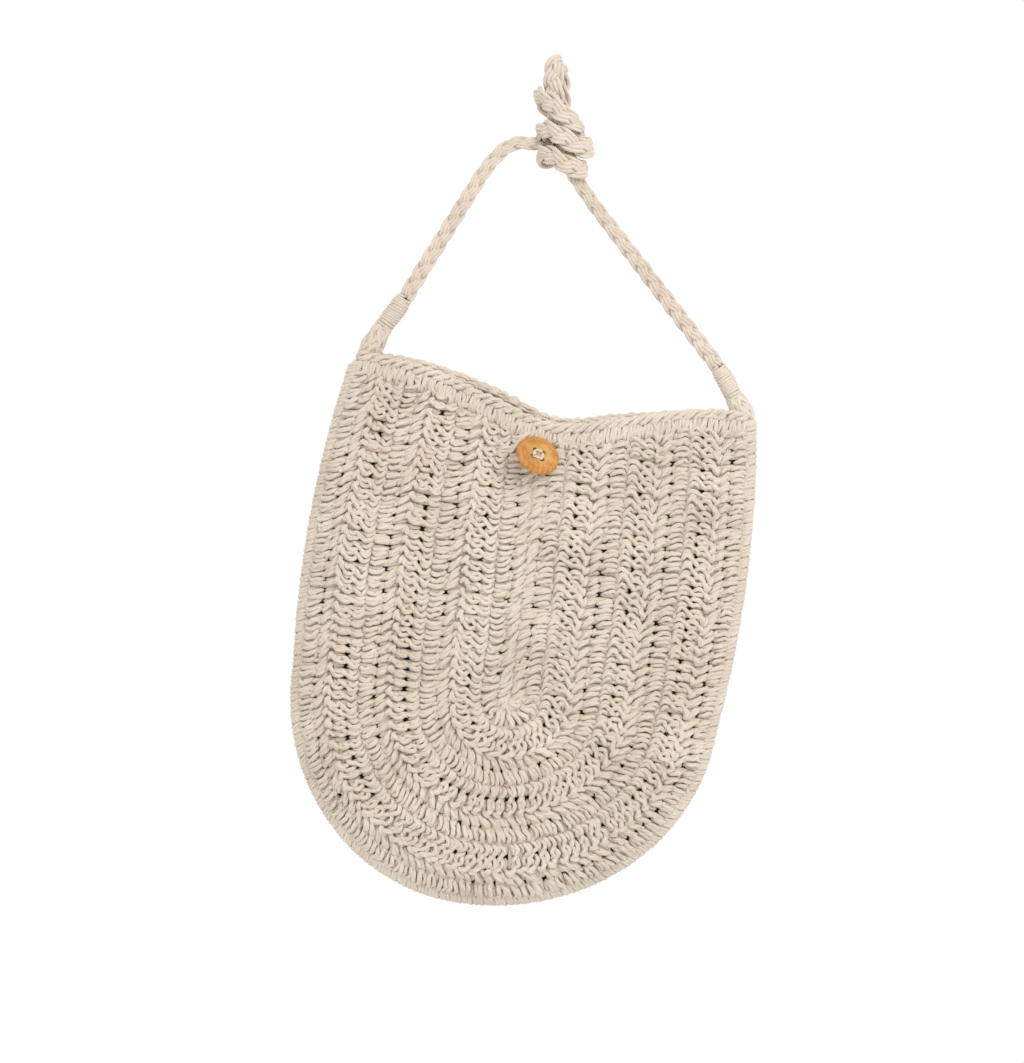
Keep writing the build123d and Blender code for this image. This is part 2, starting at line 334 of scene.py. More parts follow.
def yarn_material(name, light, dark, plies, lay, twist=0.62, painted_ply_shade=0.1):
    """Cotton yarn: twisted plies, loose fibres, colour that wanders from place to place, and painted shade in
    the grooves between plies.
    """
    made = Material(name)
    split = made.node("ShaderNodeSeparateXYZ", {0: made.node("ShaderNodeUVMap", {}, uv_map="yarn")["UV"]})
    around = made.node("ShaderNodeMath", {0: split["Y"], 1: 2 * math.pi * plies}, operation="MULTIPLY")[0]
    turn = made.combine(split["X"], 2 * math.pi / lay, around)
    ply = made.node("ShaderNodeMath", {0: turn}, operation="SINE")[0]
    place = made.node("ShaderNodeTexCoord", {})["Object"]
    fibre = made.noise(place, 1500.0, 3.0, 0.6)
    patch = made.noise(place, 38.0, 4.0, 0.65)
    region = made.noise(place, 11.0, 2.0, 0.5)
    # Painted shade: the ply pattern darkens the colour in the grooves between plies and lightens it on the
    # ply crowns
    colour = made.ramp(made.combine(ply, painted_ply_shade, patch), (0.25, dark), (0.72, light))
    made.feed(made.shader, {
        "Base Color": made.tint(colour, (1.0, 0.98, 0.98), made.remap(region, "From", 0.42, 0.62)),
        "Roughness": made.remap(fibre, "To", 0.82, 0.96),
        "Normal": made.bump(made.combine(ply, twist, fibre), 0.75, 0.00038),
        "Sheen Weight": 0.25,
        "Sheen Roughness": 0.6,
        "Specular IOR Level": 0.25,
    })
    return made.data


def wood_material(name, centre, axes):
    """Turned, oiled wood: bowed growth rings, fine pores, a stained rim and a paler middle."""
    made = Material(name)
    place = made.node("ShaderNodeTexCoord", {})["Object"]
    off = made.node("ShaderNodeVectorMath", {0: place, 1: centre}, operation="SUBTRACT")["Vector"]
    parts = []
    for axis in axes:
        parts.append(made.node("ShaderNodeVectorMath", {0: off, 1: axis}, operation="DOT_PRODUCT")["Value"])

    def stretched(along, across, deep, shift):
        """Return a vector of the disc's own coordinates, scaled for grain."""
        scaled = {}
        for part, scale, socket in zip(parts, (along, across, deep), ("X", "Y", "Z")):
            scaled[socket] = made.combine(part, scale, shift)
        return made.node("ShaderNodeCombineXYZ", scaled)[0]

    rings = made.node(
        "ShaderNodeTexWave",
        {"Vector": stretched(120, 230, 160, 2.2), "Scale": 1.0, "Distortion": 2.6, "Detail": 3.0,
         "Detail Scale": 1.4},
        wave_type="RINGS",
        rings_direction="Z",
    )["Fac"]
    pores = made.noise(stretched(320, 2600, 2600, 0.0), 1.0, 5.0, 0.65)
    patch = made.noise(stretched(130, 190, 190, 5.0), 1.0, 3.0, 0.6)
    grain = made.combine(rings, 0.17, made.combine(pores, 0.42, patch))
    colour = made.ramp(
        grain, (0.46, (0.70, 0.415, 0.135)), (0.98, (0.45, 0.21, 0.048)), (0.7, (0.60, 0.315, 0.08))
    )
    flat = made.node("ShaderNodeCombineXYZ", {"X": parts[0], "Y": parts[1]})[0]
    radius = made.node("ShaderNodeVectorMath", {0: flat}, operation="LENGTH")["Value"]
    stain = made.remap(made.combine(patch, 0.003, radius), "From", 0.0062, 0.0098)
    made.feed(made.shader, {
        "Base Color": made.tint(colour, (0.95, 0.79, 0.60), stain),
        "Roughness": made.remap(grain, "To", 0.34, 0.58),
        "Normal": made.bump(grain, 0.35, 0.00008),
        "Specular IOR Level": 0.4,
    })
    return made.data


cotton = yarn_material("cotton_yarn", (0.77, 0.685, 0.575), (0.62, 0.53, 0.43), plies=3, lay=7.0)
# Painted shade: the strap's yarn is set a little darker than the bag's, for the shade that falls on the knot;
# its ply marks are fainter too
strap_cotton = yarn_material(
    "strap_cotton_yarn", (0.745, 0.655, 0.55), (0.62, 0.53, 0.43), plies=3, lay=7.0, twist=0.3, painted_ply_shade=0.06
)

# ---------------------------------------------------------------- strap
LEFT_STRAP_FOOT, RIGHT_STRAP_FOOT = (-56.375, 0, -72.068), (97.4, 0, -106.1)
STRAP_ROUTE = [
    LEFT_STRAP_FOOT, (-34.4, 0, -36.75), (-9.027, 0, 4), (8.013, 0, 4),
    (17, 7, 2), (25, 7.5, 4), (30, 3, 9), (28, -5, 12), (20, -8.5, 18), (12.5, -6, 25), (8, 0.5, 28),
    (12, 6.5, 24), (19, 8, 16), (28, 7.5, 7), (34.5, 2, 2), (32, -6, 0), (25, -9, 3), (18, -8.5, 8),
    (11, -4, 11), (10, 4, 7), (17, 8, 0), (25, 7.5, -7), (31.5, 2, -9), (30, -6, -10), (23, -9, -8),
    (16, -7, -3), (10.5, -2.5, -1), (10.5, 4, -4.5), (17.5, 5, -2.5), (21, 3, 7), (21, 3, 18), (20, 3.5, 28),
    (20.3, 4.3, 36), (19.6, 3.8, 42.6), (17.2, -3.8, 42.6), (16.3, -4.4, 36), (16.5, -4, 26), (19, -3, 13),
    (23, 0, 0), (26.9, 0, -14.2), (56, 0, -52.1), RIGHT_STRAP_FOOT,
]
KNOT_AXIS = ((26, 0, -14), (17, 0, 36))


def follow(route):
    """Return points along the NURBS spline that has a route as its control points."""
    curve = bpy.data.curves.new("route", "CURVE")
    curve.dimensions = "3D"
    spline = curve.splines.new("NURBS")
    spline.points.add(len(route) - 1)
    for point, place in zip(spline.points, route):
        point.co = (*[value * MM for value in place], 1)
    spline.order_u = 3
    spline.use_endpoint_u = True
    spline.resolution_u = 12
    carrier = bpy.data.objects.new("route", curve)
    mesh = bpy.data.meshes.new_from_object(carrier)
    read = np.array([vertex.co[:] for vertex in mesh.vertices])
    bpy.data.objects.remove(carrier)
    bpy.data.meshes.remove(mesh)
    bpy.data.curves.remove(curve)
    return read


def evenly(points, step):
    """Return a line of points again, a step in metres apart."""
    length = np.concatenate([[0], np.cumsum(np.linalg.norm(np.diff(points, axis=0), axis=1))])
    stations = np.linspace(0, length[-1], int(length[-1] / step) + 1)
    return np.stack([np.interp(stations, length, points[:, k]) for k in range(3)], axis=1), stations


def smooth(values, reach):
    """Average values along a line over a reach of points each way."""
    kernel = np.hanning(2 * reach + 3)[1:-1]
    kernel /= kernel.sum()
    padded = np.concatenate([np.repeat(values[:1], reach, 0), values, np.repeat(values[-1:], reach, 0)])
    return np.stack([np.convolve(padded[:, k], kernel, "valid") for k in range(values.shape[1])], axis=1)


def plait(mesh, line, stations, faces, width, period):
    """Lay a flat three-strand plait of nine yarns along a line, facing faces, as wide as width."""
    tangents = np.gradient(line, axis=0)
    tangents /= np.linalg.norm(tangents, axis=1, keepdims=True)
    faces = faces - tangents * np.sum(faces * tangents, axis=1, keepdims=True)
    faces /= np.linalg.norm(faces, axis=1, keepdims=True)
    lateral = np.cross(faces, tangents)
    yarn_gap = width * 0.18
    yarn_radius = 0.55 + width * 0.052
    swing = width / 2 - yarn_gap - yarn_radius
    rise = yarn_radius * 1.5
    for strand in range(3):
        phase = 2 * math.pi * (stations / (period * MM) + strand / 3)
        sway = np.cos(phase) * swing * 2 * math.pi / period
        lean = np.arctan(sway)[:, None]
        centre = lateral * (swing * np.sin(phase))[:, None] + faces * (rise * np.sin(2 * phase))[:, None]
        beside = lateral * np.cos(lean) - tangents * np.sin(lean)
        for yarn in (-1, 0, 1):
            crown = 0.35 * yarn_radius * (1 - abs(yarn)) * np.tanh(3 * np.sin(2 * phase))
            lay = centre + beside * (yarn * yarn_gap)[:, None] + faces * crown[:, None]
            mesh.add(line + lay * MM, yarn_radius * MM)


# Lengths along the strap are metres from its left end, and its widths are millimetres
LEFT_LEG_REACH, RIGHT_LEG_REACH = 0.118, 0.121
strap_line, strap_stations = evenly(follow(STRAP_ROUTE), STRAP_STEP * MM)
strap_length = strap_stations[-1]
knot_foot, knot_peak = (np.array(end) * MM for end in KNOT_AXIS)
knot_up = (knot_peak - knot_foot) / np.linalg.norm(knot_peak - knot_foot)
along_knot = (strap_line - knot_foot) @ knot_up
out_of_knot = strap_line - knot_foot - along_knot[:, None] * knot_up
out_of_knot /= np.linalg.norm(out_of_knot, axis=1, keepdims=True) + 1e-6
on_a_leg = (strap_stations < LEFT_LEG_REACH) | (strap_stations > strap_length - RIGHT_LEG_REACH)
outward = np.where(on_a_leg[:, None], np.array([[0, -1.0, 0]]), out_of_knot)
outward = smooth(outward, 7)

strap_mesh = YarnMesh("plaited_strap")
strap_width = np.interp(
    strap_stations,
    [0, 0.04, 0.105, 0.125, 0.15, strap_length - 0.18, strap_length - 0.16, strap_length - 0.13,
     strap_length - 0.11, strap_length - 0.06, strap_length],
    [8.2, 7.8, 6.8, 8.5, 9.8, 9.8, 10.6, 9.4, 7.0, 7.8, 8.2],
)
plait(strap_mesh, strap_line, strap_stations, outward, strap_width, PLAIT_PERIOD)
strap = strap_mesh.build(
    strap_cotton, "strap", "strap_cotton", "strap_left_leg", "strap_knot", "strap_right_leg"
)


# ---------------------------------------------------------------- whippings and strap eyes
WHIPPING_YARN, WHIPPING_GAP = 0.8, 1.62
EYE_YARNS, EYE_YARN_RADIUS, EYE_CORE_RADIUS, EYE_SKIN = 6, 1.36, 1.7, 1.3
EYE_WIDTH, EYE_DEPTH = 5.6, 4.2


def wind(name, start, end, radius, yarn_radius, node):
    """Wind yarn round one end of the strap, closely, with uneven turns."""
    start, end = np.array(start, dtype=float), np.array(end, dtype=float)
    axis = (end - start) / np.linalg.norm(end - start)
    side = np.array([0.0, -1.0, 0.0])
    other = np.cross(axis, side)
    length = np.linalg.norm(end - start)
    turns = length / (WHIPPING_GAP * yarn_radius)
    t = np.linspace(0, 1, int(turns * 22))
    angle = 2 * math.pi * turns * t
    belly = radius - yarn_radius + 0.35 * np.sin(math.pi * t) - 0.9 * np.abs(2 * t - 1) ** 6
    wobble = 0.12 * np.sin(angle * 0.37) + 0.10 * np.sin(angle + 7 * t)
    reach = length * t + 0.35 * np.sin(angle + 2 * math.pi * np.sin(3 * t))
    ring = side * np.cos(angle)[:, None] + other * np.sin(angle)[:, None]
    mesh = YarnMesh(name)
    mesh.add((start + axis * reach[:, None] + ring * (belly + wobble)[:, None]) * MM, yarn_radius * MM)
    return mesh.build(strap_cotton, "strap", "strap_cotton", node)


LEFT_WHIPPING_FOOT, RIGHT_WHIPPING_FOOT = (-67.0, 0, -86.4), (105.6, 0, -121.4)
wind("left_strap_whipping", (-56.2, 0, -71.8), LEFT_WHIPPING_FOOT, 4.5, WHIPPING_YARN, "left_whipping")
wind("right_strap_whipping", (97.0, 0, -105.6), RIGHT_WHIPPING_FOOT, 4.3, WHIPPING_YARN, "right_whipping")


def strap_eye(name, top, foot, width, depth, node, seed):
    """Braid yarns closely round a core, out of a whipping and into a corner of the bag."""
    chance = np.random.RandomState(seed)
    top, foot = np.array(top, dtype=float), np.array(foot, dtype=float)
    down = (foot - top) / np.linalg.norm(foot - top)
    front = np.array([0.0, -1.0, 0.0])
    across = np.cross(front, down)
    length = np.linalg.norm(foot - top)
    t = np.linspace(-0.25, 1.12, 40)
    swell = np.interp(t, [-0.25, 0, 0.3, 0.8, 1.12], [0.62, 0.76, 0.98, 0.94, 0.7])
    mesh = YarnMesh(name)
    yarns = [(way, k) for way in (1, -1) for k in range(EYE_YARNS)]
    for way, k in yarns:
        turn = 2 * math.pi * k / EYE_YARNS + way * (0.7 + length / 14) * t + 0.10 * chance.randn()
        over = 1 + 0.08 * way * np.cos(turn * 3) + 0.02 * chance.randn()
        side = (width - EYE_SKIN) * swell * over * np.cos(turn)
        out = (depth - EYE_SKIN) * swell * over * np.sin(turn)
        line = top + down * (length * t)[:, None] + across * side[:, None] + front * out[:, None]
        mesh.add(line * MM, (EYE_YARN_RADIUS + 0.06 * chance.randn()) * MM)
    for k in range(EYE_YARNS):
        turn = 2 * math.pi * k / EYE_YARNS + 0.5 + 0.4 * t
        side, out = 0.46 * width * np.cos(turn) * swell, 0.42 * depth * np.sin(turn) * swell
        line = top + down * (length * t)[:, None] + across * side[:, None] + front * out[:, None]
        mesh.add(line * MM, EYE_CORE_RADIUS * MM)
    piece = mesh.build(cotton, None, "cotton", node)
    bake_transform(piece)
    return piece


# ---------------------------------------------------------------- crochet panels
# The mouth's edge in front, as (across, up), and how much higher the edge behind stands at each point
RIM_POINTS = [(-112, 156.5), (-66, 153.5), (-28, 143.5), (4, 135.5), (36, 143.5), (74, 153.5), (112, 156.5)]
BACK_RISE = [0, 2.5, 5, 3.5, 2, 0, 0]


def rim_height(across, back=False):
    """Return the height of the mouth's edge."""
    heights = [up + (rise if back else 0) for (_, up), rise in zip(RIM_POINTS, BACK_RISE)]
    weights = spline_weights(len(RIM_POINTS), 241)
    stations = weights @ np.array([station for station, _ in RIM_POINTS])
    return np.interp(across, stations, weights @ np.array(heights))


def across_and_up(turn, share):
    """Place points on the U: turn runs down the left, round the foot and up the right.

    turn is -SIDE_RUN..0 on the left side, 0..pi round the foot and pi..pi+SIDE_RUN up the right
    side, and share is 0 on the centre chain and 1 on the outline.
    """
    side_up = np.where(turn < 0, -turn, np.where(turn > np.pi, turn - np.pi, 0))
    angle = np.pi + np.clip(turn, 0, np.pi)
    chain_across = CHAIN_FOOT + CHAIN_LEAN * side_up
    foot_reach = FOOT_HALF_WIDTH + np.where(angle < 1.5 * np.pi, FOOT_SHIFT, -FOOT_SHIFT)
    foot_across = FOOT_SHIFT + foot_reach * np.cos(angle)
    edge_across = np.where(side_up > 0, np.where(turn < 0, -1, 1) * half_width(side_up), foot_across)
    edge_up = np.where(side_up > 0, side_up, FOOT_DEPTH * np.sin(angle))
    return (
        chain_across + share * (edge_across - chain_across),
        side_up + share * (edge_up - side_up),
    )


def turns_and_length(share, top=math.inf):
    """Return stations over the U below a height, at a share of its width, and the length up to each."""
    turns = np.concatenate([np.linspace(-SIDE_RUN, 0, 400), np.linspace(0, np.pi, 400)[1:],
                            np.pi + np.linspace(0, SIDE_RUN, 400)[1:]])
    across, up = across_and_up(turns, share)
    keep = up < top
    steps = np.hypot(np.diff(across[keep]), np.diff(up[keep]))
    return turns[keep], np.concatenate([[0], np.cumsum(steps)])


def row_shares():
    """Return the shares at which rows begin and end, equal along the bowed fabric."""
    share = np.linspace(0, SEAM_SHARE, 400)
    across, up = across_and_up(np.full(400, np.pi + 40.0), share)
    depth = bow(across, up)
    length = np.concatenate([[0], np.cumsum(np.hypot(np.diff(across), np.diff(depth)))])
    return np.interp(np.linspace(0, length[-1], ROW_COUNT + 1), length, share)


# Strands of one stitch: (along the row in stitches, across the row, lift in millimetres)
FACE_STITCH = [
    [(0.06, -0.02, -1.0), (0.36, 0.03, 0.8), (0.62, 0.12, 1.5), (0.58, 0.24, 1.5), (0.32, 0.34, 1.1),
     (0.08, 0.41, -0.4)],
    [(-0.40, 0.02, -1.0), (-0.14, 0.06, 0.7), (0.10, 0.14, 1.1), (0.06, 0.25, 0.9), (-0.16, 0.33, -0.5)],
    [(0.56, 0.31, -0.9), (0.38, 0.39, 0.8), (0.12, 0.48, 1.2), (-0.04, 0.57, 0.9), (-0.10, 0.65, -0.6)],
    [(0.26, 0.41, -1.1), (0.50, 0.49, 0.9), (0.60, 0.60, 1.5), (0.48, 0.72, 1.4), (0.18, 0.81, 0.8),
     (-0.08, 0.86, -0.7)],
    [(-0.22, 0.53, -1.1), (0.00, 0.59, 0.7), (0.12, 0.67, 1.1), (0.00, 0.77, 0.8), (-0.26, 0.84, -0.6)],
]
BACK_STITCH = [
    [(-0.42, -0.02, -1.0), (-0.22, 0.06, 0.9), (0.08, 0.17, 1.5), (0.34, 0.28, 1.3), (0.50, 0.37, 0.3),
     (0.55, 0.43, -1.3)],
    [(-0.02, 0.01, -1.1), (0.16, 0.09, 0.5), (0.42, 0.20, 1.1), (0.64, 0.31, 1.0), (0.76, 0.38, 0.0),
     (0.80, 0.44, -1.4)],
    [(0.44, 0.44, -1.3), (0.58, 0.51, 0.8), (0.76, 0.63, 1.5), (0.88, 0.76, 1.5), (0.88, 0.88, 1.1),
     (0.72, 0.96, -0.6)],
    [(-0.02, 0.48, -1.3), (0.14, 0.56, 0.6), (0.30, 0.68, 1.2), (0.40, 0.80, 1.2), (0.38, 0.90, 0.7),
     (0.22, 0.96, -0.8)],
    [(0.96, 0.55, -1.0), (0.82, 0.49, 0.1), (0.64, 0.44, 0.3), (0.48, 0.41, -0.9)],
]
FACE_CHAIN = [
    [(0.40, 0.80, -0.6), (0.24, 0.83, 1.3), (0.00, 0.875, 2.1), (-0.22, 0.93, 1.6), (-0.34, 0.96, -0.2)],
    [(0.16, 1.03, -0.6), (-0.02, 1.01, 1.2), (-0.24, 0.965, 1.9), (-0.46, 0.925, 1.3), (-0.58, 0.89, -0.2)],
]
BACK_CHAIN = [
    [(-0.52, 0.955, -1.5), (-0.2, 0.99, -0.5), (0.16, 0.99, -0.4), (0.5, 0.955, -1.5)],
]
FACE_BACKING = [
    [(0.06, -0.12, -1.3), (0.10, 0.25, -0.8), (0.10, 0.6, -0.8), (0.06, 1.06, -1.3)],
    [(0.56, -0.12, -1.3), (0.60, 0.08, -0.8), (0.61, 0.24, -0.8), (0.60, 0.40, -1.5)],
    [(0.60, 0.52, -1.5), (0.60, 0.68, -0.8), (0.58, 0.88, -0.8), (0.56, 1.06, -1.3)],
]
BACK_BACKING = [
    [(0.06, -0.12, -1.3), (0.30, 0.22, -0.8), (0.50, 0.6, -0.8), (0.56, 1.06, -1.3)],
    [(0.56, -0.12, -1.3), (0.68, 0.06, -0.8), (0.82, 0.24, -0.8), (0.92, 0.41, -1.5)],
    [(0.97, 0.53, -1.5), (1.02, 0.68, -0.8), (1.06, 0.88, -0.8), (1.06, 1.06, -1.3)],
]
FULL_BACKING = [
    [(0.45, -0.10, -1.9), (0.42, 0.4, -1.7), (0.48, 0.7, -1.7), (0.45, 1.04, -1.9)],
    [(0.95, -0.10, -1.9), (0.92, 0.4, -1.7), (0.98, 0.7, -1.7), (0.95, 1.04, -1.9)],
]


# How far points and whole strands stray, in the same terms as the strands
POINT_JITTER, STRAND_JITTER, BACKING_JITTER = (0.045, 0.016, 0.2), (0.03, 0.014, 0.22), (0.02, 0.01, 0.08)


def wandering(chance, count, reach, size):
    """Return a random wander along a row, smooth over a reach of stitches."""
    return smooth(chance.randn(count, 1), reach)[:, 0] * size * math.sqrt(reach)


def crochet_row(name, row, side, seed):
    """Crochet one U-shaped row of a panel as tubes of yarn."""
    chance = np.random.RandomState(seed)
    shares = row_shares()
    inner, outer = shares[row], shares[row + 1]
    turns, length = turns_and_length(inner + PITCH_SHARE * (outer - inner))
    stitch_count = int(length[-1] / STITCH_PITCH)
    pitch = length[-1] / stitch_count
    face_up = (row + (side < 0)) % 2 == 1
    strands = (FACE_STITCH + FACE_CHAIN) if face_up else (BACK_STITCH + BACK_CHAIN)
    mesh = YarnMesh(name)
    index = np.arange(stitch_count)
    wander = wandering(chance, stitch_count, 3, 0.13) + 0.07 * chance.randn(stitch_count)
    looseness = 1 + 0.18 * chance.randn(stitch_count) + wandering(chance, stitch_count, 5, 0.12)
    slant = 1 + wandering(chance, stitch_count, 4, 0.18) + 0.14 * chance.randn(stitch_count)
    bend = wandering(chance, stitch_count, 3, 0.12) + 0.08 * chance.randn(stitch_count)
    drift = wandering(chance, stitch_count, 4, 0.025) + 0.012 * chance.randn(stitch_count)

    def place(along, over, lift):
        """Place strands by stitches along, share of the row's width and lift; the rim's band is left out."""
        turn = np.interp(along * pitch, length, turns)
        across, up = across_and_up(turn, inner + (outer - inner) * over)
        keep = up.max(axis=1) < rim_height(across.mean(axis=1), side < 0) - RIM_BAND
        return to_world(on_panel(across[keep], up[keep], lift[keep], side))

    filling = FACE_BACKING if face_up else BACK_BACKING
    if side < 0:
        filling = filling + FULL_BACKING
    for strand in strands:
        control = np.array(strand)
        point_count = max(8, 2 * len(strand) + 1)
        weights = spline_weights(len(strand), point_count)
        jitter = chance.randn(stitch_count, len(strand), 3) * POINT_JITTER
        jitter += chance.randn(stitch_count, 1, 3) * STRAND_JITTER
        shaped = control[None] + jitter
        shaped[:, :, 2] *= looseness[:, None]
        line = np.einsum("pc,scd->spd", weights, shaped)
        bowed = bend[:, None] * np.sin(np.pi * np.clip(line[:, :, 1], 0, 1))
        along = index[:, None] + 0.5 + wander[:, None] + line[:, :, 0] * slant[:, None] + bowed
        placed = place(along, line[:, :, 1] + drift[:, None], line[:, :, 2])
        girth = YARN_RADIUS * (1 + 0.06 * chance.randn(len(placed), 1))
        fat = CHAIN_GIRTH if strand in FACE_CHAIN else 1.0
        belly = fat * (0.70 + 0.42 * np.sin(np.linspace(0, np.pi, point_count)) ** 0.8)
        mesh.add(placed, girth * belly * MM)
    for strand in filling:
        control = np.array(strand)[None] + chance.randn(stitch_count, len(strand), 3) * BACKING_JITTER
        line = np.einsum("pc,scd->spd", spline_weights(len(strand), 6), control)
        placed = place(index[:, None] + 0.5 + line[:, :, 0], line[:, :, 1], line[:, :, 2])
        mesh.add(placed, BACKING_RADIUS * MM, sides=6)
    return mesh


row_names = ("first", "second", "third", "fourth", "fifth", "sixth", "seventh")
for side, panel in ((1, "front_panel"), (-1, "back_panel")):
    for row, word in enumerate(row_names):
        crochet = crochet_row(f"{panel}_{word}_row", row, side, seed=31 * row + 7 * (side + 2))
        crochet.build(cotton, "bag", "cotton", panel)


# ---------------------------------------------------------------- centre chain, rims and side seam
def lay_stitches(mesh, strands, count, place, seed, radius=YARN_RADIUS, jitter=(0.03, 0.10, 0.12)):
    """Repeat a stitch's strands at whole stations, and put each where place says."""
    chance = np.random.RandomState(seed)
    index = np.arange(count)[:, None]
    for strand in strands:
        control = np.array(strand)[None] + chance.randn(count, len(strand), 3) * jitter
        line = np.einsum("pc,scd->spd", spline_weights(len(strand), 2 * len(strand) + 1), control)
        belly = 0.78 + 0.32 * np.sin(np.linspace(0, np.pi, line.shape[1])) ** 0.8
        mesh.add(to_world(place(index + line[:, :, 0], line[:, :, 1], line[:, :, 2])), radius * belly * MM)


CHAIN_LINKS = [
    [(-0.15, -0.3, -1.2), (0.15, -1.3, -0.4), (0.6, -1.1, -0.1), (1.05, -0.1, -1.0)],
    [(-0.15, 0.3, -1.2), (0.15, 1.3, -0.4), (0.6, 1.1, -0.1), (1.05, 0.1, -1.0)],
]


def chain_place(side):
    """Return how to place points by links up the centre chain, millimetres beside it and lift."""
    return lambda links, beside, lift: on_panel(
        CHAIN_FOOT + CHAIN_LEAN * links * CHAIN_PITCH + beside, links * CHAIN_PITCH, lift, side
    )


chain_mesh = YarnMesh("centre_chain")
link_count = int(CHAIN_HEIGHT / CHAIN_PITCH)
for side in (1, -1):
    lay_stitches(chain_mesh, CHAIN_LINKS, link_count, chain_place(side), seed=5 + side, radius=1.0)
chain_mesh.build(cotton, "bag", "cotton", "front_panel", "back_panel")

# Rim strands: (stitches along, millimetres above the mouth's edge, lift)
UPRIGHTS = [
    [(-0.30, -12.2, -1.0), (-0.36, -10.4, 0.6), (-0.33, -7.4, 1.2), (-0.26, -4.6, 0.8), (-0.16, -3.0, -0.8)],
    [(0.00, -11.4, -1.0), (-0.04, -9.8, 0.5), (0.04, -7.0, 1.0), (0.14, -4.6, 0.7), (0.20, -3.0, -0.8)],
    [(0.30, -12.6, -1.0), (0.36, -10.6, 0.9), (0.30, -7.8, 1.4), (0.40, -4.9, 0.8), (0.50, -3.1, -0.8)],
]
RIM_FILLING = [
    [(-0.6, -4.6, -1.3), (0.0, -4.8, -1.0), (0.6, -4.6, -1.3)],
    [(-0.6, -7.0, -1.4), (0.0, -6.8, -1.1), (0.6, -7.0, -1.4)],
    [(-0.6, -9.2, -1.4), (0.0, -9.4, -1.1), (0.6, -9.2, -1.4)],
    [(-0.6, -11.4, -1.5), (0.0, -11.6, -1.3), (0.6, -11.4, -1.5)],
]
RIM_CORD = [
    [(-0.62, -3.7, -0.8), (-0.36, -3.5, 0.8), (0.00, -2.8, 1.5), (0.30, -2.0, 1.1), (0.50, -1.6, -0.6)],
    [(-0.22, -2.7, -0.6), (0.04, -2.1, 1.0), (0.36, -1.2, 1.3), (0.66, -0.6, 0.4), (0.80, -0.6, -1.0)],
    [(-0.60, -1.6, 0.5), (-0.26, -0.6, 0.7), (0.14, 0.0, 0.0), (0.46, -0.4, -1.3)],
    [(-0.60, -0.9, -1.3), (0.00, -0.6, -2.1), (0.60, -1.5, -2.0)],
    [(-0.70, -2.6, -1.8), (0.00, -2.1, -2.5), (0.70, -3.0, -1.8)],
    [(-0.60, -2.2, -0.4), (0.00, -2.0, -0.3), (0.60, -2.2, -0.4)],
]


def rim_place(back):
    """Return how to place points by stitches along the mouth, height above it and lift."""
    span = np.linspace(-RIM_HALF_SPAN, RIM_HALF_SPAN, 400)
    heights = rim_height(span, back)
    length = np.concatenate([[0], np.cumsum(np.hypot(np.diff(span), np.diff(heights)))])
    count = int(length[-1] / RIM_PITCH)
    side = -1 if back else 1

    def place(stitches, above, lift):
        across = np.interp((stitches + 0.5) * length[-1] / count, length, span)
        return on_panel(across, rim_height(across, back) + above, lift, side)

    return place, count


# A loose yarn that hugs the upper left of the button: (across, up, lift)
BUTTON_SIDE_YARN = [
    (-22.5, 119.4, -0.6), (-19.7, 120.1, 1.4), (-15.1, 120.9, 2.4), (-13.3, 123.3, 3.0), (-11.6, 125.6, 3.0),
    (-10.1, 127.6, 2.5), (-8.2, 128.8, 1.2), (-6.5, 129.0, -0.8),
]
LOOSE_YARN_GAP, LOOSE_YARN_RADIUS = 1.9, 1.05
for back, panel, rim in ((False, "front_panel", "front_rim"), (True, "back_panel", "back_rim")):
    place, count = rim_place(back)
    band = YarnMesh(f"{panel}_top_stitches")
    lay_stitches(band, UPRIGHTS, count, place, seed=11 + back, jitter=(0.07, 0.6, 0.25))
    lay_stitches(band, RIM_FILLING, count, place, seed=15 + back, radius=1.3)
    if not back:
        hug = np.array(BUTTON_SIDE_YARN)
        for shift in (0.0, LOOSE_YARN_GAP):
            line = spline_weights(len(hug), 40) @ hug + (-0.5 * shift, -shift, -0.3 * shift)
            band.add(to_world(on_panel(line[:, 0], line[:, 1], line[:, 2], 1)), LOOSE_YARN_RADIUS * MM)
    band.build(cotton, "bag", "cotton", panel)
    cord = YarnMesh(f"{rim}_edging")
    lay_stitches(cord, RIM_CORD, count, place, seed=21 + back, radius=1.14, jitter=(0.06, 0.2, 0.2))
    cord.build(cotton, "bag", "cotton", rim)

# Side seam strands: (stitches along, turn over the edge from -1 behind to 1 in front, lift)
SEAM_STITCH = [
    [(-0.45, 1.35, -0.6), (-0.25, 0.95, 0.4), (0.05, 0.35, 0.7), (0.20, -0.35, 0.7), (0.35, -0.95, 0.4),
     (0.5, -1.35, -0.6)],
    [(-0.05, 1.35, -0.7), (0.10, 0.90, 0.3), (0.36, 0.25, 0.6), (0.54, -0.4, 0.6), (0.66, -1.0, 0.2),
     (0.8, -1.35, -0.6)],
    [(0.30, 1.30, -0.6), (0.40, 0.85, 0.4), (0.68, 0.15, 0.8), (0.90, -0.5, 0.6), (0.98, -1.1, -0.2)],
]
SEAM_CORE = [
    [(-0.6, 0.5, -1.3), (0.0, 0.45, -1.2), (0.6, 0.5, -1.3)],
    [(-0.6, -0.5, -1.3), (0.0, -0.45, -1.2), (0.6, -0.5, -1.3)],
]
seam_turn, seam_length = turns_and_length(1.0, SEAM_TOP)
seam_count = int(seam_length[-1] / SEAM_PITCH)


